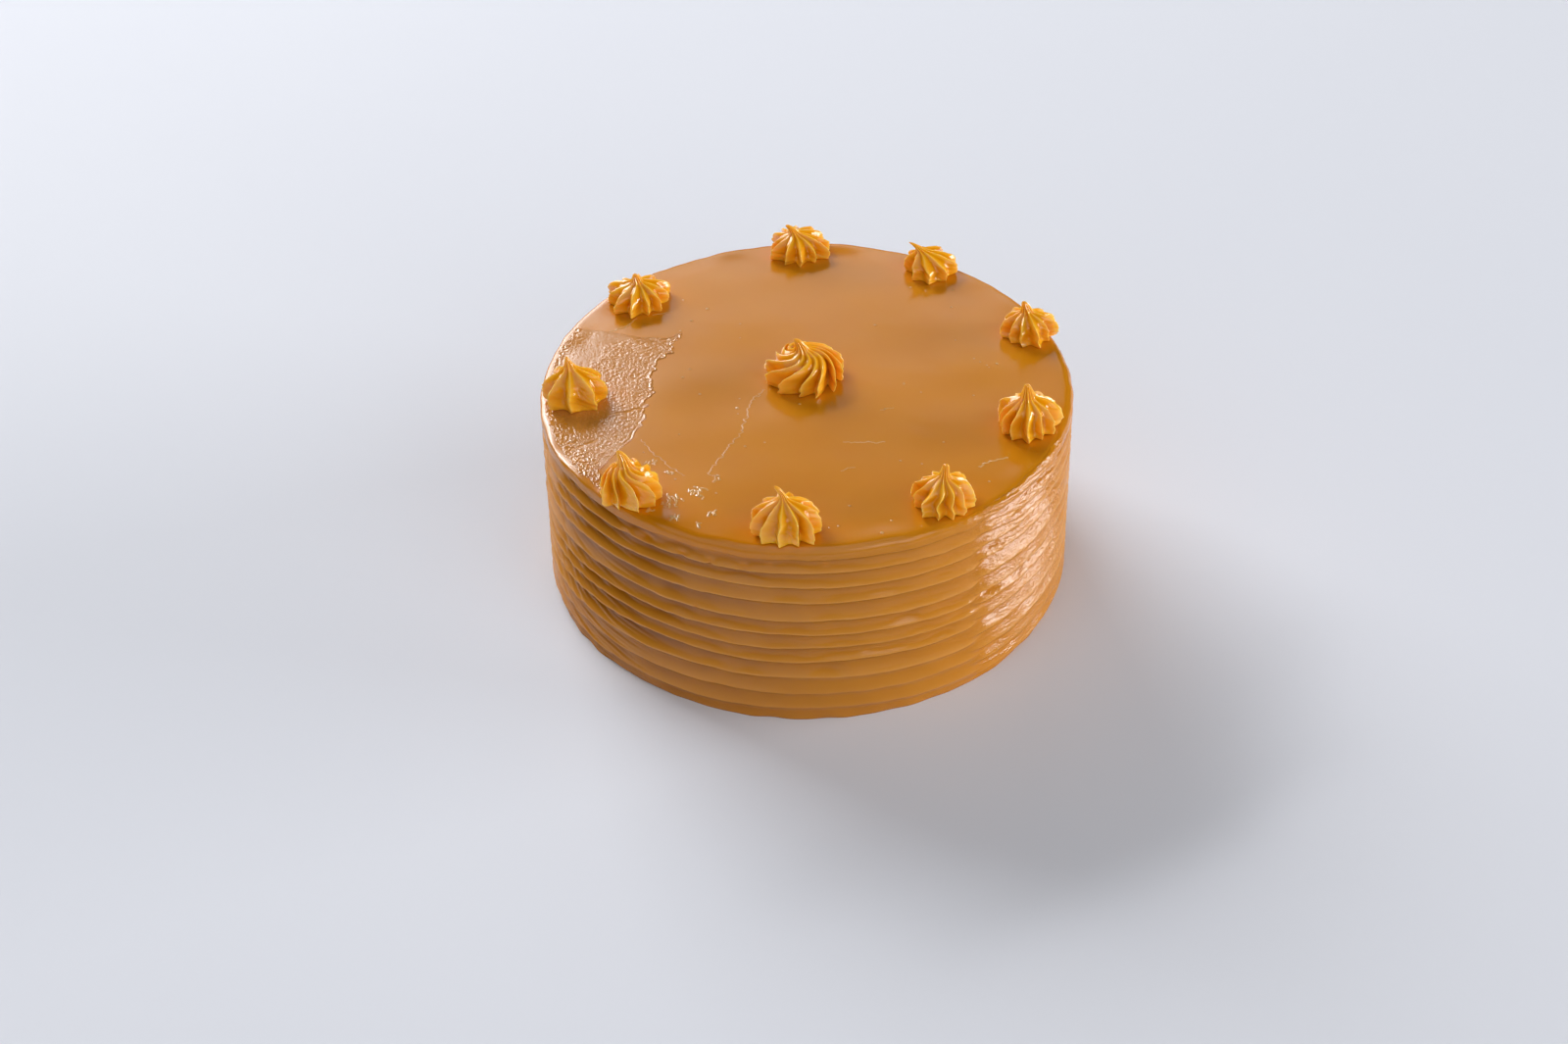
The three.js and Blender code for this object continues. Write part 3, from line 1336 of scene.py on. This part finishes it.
    def by_fin(self, phase: np.ndarray, reach: float, salt: int) -> np.ndarray:
        """Gives each fin its own value and blends it smoothly to the next fin's.

        Args:
            phase: Place round the axis, in fins.
            reach: Largest value either way.
            salt: Picks another set of values for the same rosette.

        Returns:
            The value at each place.
        """
        own = np.random.default_rng(self.seed + salt).uniform(-reach, reach, self.fins)
        before = np.floor(phase).astype(int) % self.fins
        share = smooth(0.0, 1.0, phase - np.floor(phase))
        return own[before] * (1 - share) + own[(before + 1) % self.fins] * share

    def work(self, mesh: Mesh) -> None:
        """Turns, leans and wavers the rosette as the hand did, and puts it in its place.

        Args:
            mesh: The straight rosette about the origin.
        """
        x, y, z = read_points(mesh).T
        rise = np.clip(z / self.tall, 0, 1)
        angle = np.arctan2(y, x) - math.pi / 2
        phase = angle * self.fins / TURN
        fin = self.star(phase)
        body = smooth(0, 0.3, 1 - rise)
        upper = smooth(0.4, 0.58, rise)
        depth = self.valley * (0.7 + 0.3 * smooth(0.0, 0.3, rise)) * (1 - 0.28 * upper)
        depth = depth * (1 + self.by_fin(phase + 0.5, 0.22, 40))
        rolled = fin + (np.abs(np.cos(math.pi * phase)) - fin) * upper * self.rolled
        out = np.hypot(x, y) * (1 - depth * (1 - rolled)) / (1 - self.valley * (1 - fin))
        out = out * self.outline(rise) * (1 + self.by_fin(phase, 0.1, 50) * body)
        out = out * (1 + Wander(0.025, 6, 24, self.seed + 2).at(angle + 3 * rise))
        spread = np.minimum(out / self.half, 1.0)
        swirl = 0.6 * smooth(0.1, 0.85, spread) + 0.4 * spread**2 + 0.1 * (1 - smooth(0, 0.35, rise))
        waver = self.by_fin(phase, math.radians(4.5), 60)
        waver = waver + math.radians(self.sway) * np.sin(TURN * 0.8 * spread)
        waver = waver + Wander(math.radians(4), 2, 7, self.seed + 3).at(TURN * rise / 2)
        bearing = angle + math.radians(self.first) + math.radians(self.turn) * swirl + waver * body
        pulled = np.clip((rise - 0.3) / 0.7, 0, 1) ** 1.5
        curl = np.clip((rise - self.NECK) / (1 - self.NECK), 0, 1) ** 2
        drawn = self.lean * pulled + self.hook * (curl - pulled**3 * 0.4)
        shoulder = smooth(0.3, 0.5, rise) * smooth(0.2, 0.4, 1 - rise)
        moved_x = out * np.cos(bearing) + drawn + self.centre[0]
        moved_y = out * np.sin(bearing) + self.centre[1]
        moved_z = z + self.base + self.by_fin(phase, 0.35 * MM, 70) * shoulder
        write_points(mesh, np.column_stack([moved_x, moved_y, moved_z]))
        # Shares for painted highlight along the fins' edges and painted shade in the valleys.
        write_share(mesh, "fin", fin**5)
        write_share(mesh, "valley", (1 - fin) ** 1.5 * smooth(0.05, 0.3, rise))

    def outline(self, rise: np.ndarray) -> np.ndarray:
        """Shapes the outline between a dome and a tent, and leaves the tip thick.

        Args:
            rise: Shares of the height.

        Returns:
            How much wider or narrower than the pressed star the rosette is there.
        """
        outs, rises = np.array(self.OUTLINE).T
        dome = np.interp(rise, [*rises, 1.0], [*outs, 0.03])
        slope = np.clip((1 - rise) / (1 - self.SHOULDER), 0, 1) ** 1.25
        tent = np.where(rise < self.SHOULDER, dome, slope)
        blunt = 1 + 1.6 * self.knob * smooth(self.NECK - 0.1, self.NECK + 0.08, rise)
        return ((1 - self.steep) * dome + self.steep * tent) / dome * blunt


@dataclass(frozen=True)
class SoftLight:
    """A soft light that looks at the cake.

    Attributes:
        name: The light's name.
        azimuth: Where it stands, in degrees to the right of the back.
        elevation: How high it stands, in degrees.
        distance: How far from the cake it stands.
        width: Its width.
        height: Its height.
        radiance: How bright its face is.
    """

    name: str
    azimuth: float
    elevation: float
    distance: float
    width: float
    height: float
    radiance: float

    AIM = Vector((0, 0, 0.08))

    def place(self) -> None:
        """Adds the light, turned to the cake and hidden from the camera."""
        turn, rise = math.radians(self.azimuth), math.radians(self.elevation)
        way = Vector((math.sin(turn) * math.cos(rise), math.cos(turn) * math.cos(rise), math.sin(rise)))
        bpy.ops.object.light_add(type="AREA", location=self.AIM + way * self.distance)
        lamp = bpy.context.object
        lamp.name = self.name
        lamp.rotation_euler = way.to_track_quat("Z", "Y").to_euler()
        lamp.data.shape = "RECTANGLE"
        lamp.data.size, lamp.data.size_y = self.width, self.height
        lamp.data.energy = self.radiance * math.pi * self.width * self.height
        lamp.visible_camera = False


@dataclass(frozen=True)
class Studio:
    """The plain pale floor, the soft light and the camera at the photograph's angle.

    Attributes:
        floor_size: Width of the floor.
        room: Brightness of the dim room round the lights.
        room_tint: The room's colour on the cake.
        backdrop: The room's colour straight to the camera.
        eye: The camera's place.
        pitch: How far it looks down, in radians.
        yaw: How far it looks to the right.
        roll: How far it is turned about its own line of sight.
        lens: Focal length for the sensor, both in Blender's millimetres.
        sensor: Width of the sensor.
    """

    floor_size: float = 12.0
    room: float = 0.02
    room_tint: str = "F4F5FF"
    backdrop: str = "DADCE6"
    eye: tuple[float, float, float] = (0.0, -0.90422, 0.71989)
    pitch: float = 0.662768
    yaw: float = -0.010438
    roll: float = -0.016350
    lens: float = 67.5
    sensor: float = 36.0

    LIGHTS = (
        SoftLight("back_left_window", -34, 25, 3.0, 2.2, 1.42, 7.7),
        SoftLight("bright_pane", -38, 34, 2.9, 1.4, 0.25, 21.0),
        SoftLight("back_wash", -2, 28.5, 3.0, 1.2, 0.55, 2.0),
        SoftLight("right_window", 87, 9, 3.0, 1.95, 0.9, 13.2),
        SoftLight("overhead", 180, 78, 2.4, 1.5, 1.2, 0.9),
        SoftLight("front_fill", 188, 38, 2.2, 4.4, 2.4, 0.74),
        SoftLight("front_right_fill", 140, 25, 2.5, 1.4, 1.2, 1.5),
    )

    def build(self, material: Material) -> None:
        """Sets up the floor, lights, room and camera.

        Args:
            material: The floor's finish.
        """
        bpy.ops.object.select_all(action="DESELECT")
        bpy.ops.mesh.primitive_plane_add(size=self.floor_size, location=(0, 0, 0))
        floor = bpy.context.object
        floor.name = "floor"
        floor.data.materials.append(material)
        for light in self.LIGHTS:
            light.place()
        self.dim_room()
        self.aim_camera()
        bpy.context.scene.view_settings.view_transform = "Standard"

    def dim_room(self) -> None:
        """Makes the room dim to the cake and pale to the camera."""
        world = bpy.data.worlds.new("room")
        bpy.context.scene.world = world
        world.use_nodes = True
        tree = world.node_tree
        tree.nodes.clear()
        inputs: dict[int, Any] = {0: add_node(tree, "ShaderNodeLightPath").outputs["Is Camera Ray"]}
        for i, (tint, strength) in enumerate(((self.room_tint, self.room), (self.backdrop, 1.0)), 1):
            side = add_node(tree, "ShaderNodeBackground", {"Color": linear(tint), "Strength": strength})
            inputs[i] = side.outputs["Background"]
        seen = add_node(tree, "ShaderNodeMixShader", inputs)
        add_node(tree, "ShaderNodeOutputWorld", {"Surface": seen.outputs["Shader"]})

    def aim_camera(self) -> None:
        """Adds the camera at the photograph's place and angle."""
        level, down = math.cos(self.pitch), math.sin(self.pitch)
        ahead = Vector((math.sin(self.yaw) * level, math.cos(self.yaw) * level, -down))
        right = Vector((math.cos(self.yaw), -math.sin(self.yaw), 0))
        up = right.cross(ahead)
        rolled_right = math.cos(self.roll) * right + math.sin(self.roll) * up
        rolled_up = math.cos(self.roll) * up - math.sin(self.roll) * right
        bpy.ops.object.camera_add(location=self.eye)
        camera = bpy.context.object
        camera.name = "camera"
        camera.rotation_euler = Matrix((rolled_right, rolled_up, -ahead)).transposed().to_euler()
        camera.data.sensor_width = self.sensor
        camera.data.lens = self.lens
        bpy.context.scene.camera = camera


ROSETTES = (
    PipedRosette("rosette_1", 12, 8, 0, -4.2 * MM, -1.3 * MM, 0.1, 0.3, 0.34, 4, 101),
    PipedRosette("rosette_2", 9, 20, 8, -8.6 * MM, -1.0 * MM, 0.25, 0.1, 0.34, 4, 102),
    PipedRosette("rosette_3", 11, 14, 14, -2.4 * MM, -0.3 * MM, 0.1, 0.5, 0.36, 5, 103),
    PipedRosette("rosette_4", 12, 25, 10, -0.9 * MM, 0.0, 0.15, 0.5, 0.36, 5, 104),
    PipedRosette("rosette_5", 12, 6, 16, 0.9 * MM, 0.0, 0.0, 0.55, 0.36, 6, 105),
    PipedRosette("rosette_6", 12, 18, 0, -3.1 * MM, -2.2 * MM, 0.0, 0.1, 0.36, 2, 106),
    PipedRosette("rosette_7", 11, 11, 30, -3.3 * MM, -0.8 * MM, 0.15, 0.5, 0.38, -14, 107, 0.3),
    PipedRosette("rosette_8", 8, 0, 0, -2.2 * MM, -0.2 * MM, 0.35, 0.1, 0.3, 2, 108),
    PipedRosette("rosette_9", 11, 30, 0, -1.4 * MM, -0.2 * MM, 0.2, 0.2, 0.34, 4, 109),
    PipedRosette("rosette_centre", 12, 5, -72, -2.2 * MM, -1.6 * MM, 0.1, 0.3, 0.38, 6, 110, 0.6),
)


def main() -> None:
    """Builds the cake, its rosettes and the studio."""
    logging.basicConfig(level=logging.INFO, format="%(name)s: %(message)s")
    body = CakeBody()
    body.build(SpreadCaramel().make())
    DriedFilm().lay(body, DriedCaramel().make())
    # The marks' icing is painted paler than the film: partly its own colour, partly painted highlight on
    # the raised lines and blisters.
    TopMarks().build(body, DriedCaramel("dried_skin_painted_highlight", "CE9347", "D8A460").make())
    piped = PipedCaramel().make()
    for rosette in ROSETTES:
        rosette.build(body, piped)
    Studio().build(PalePaper().make())


if __name__ == "__main__":
    main()
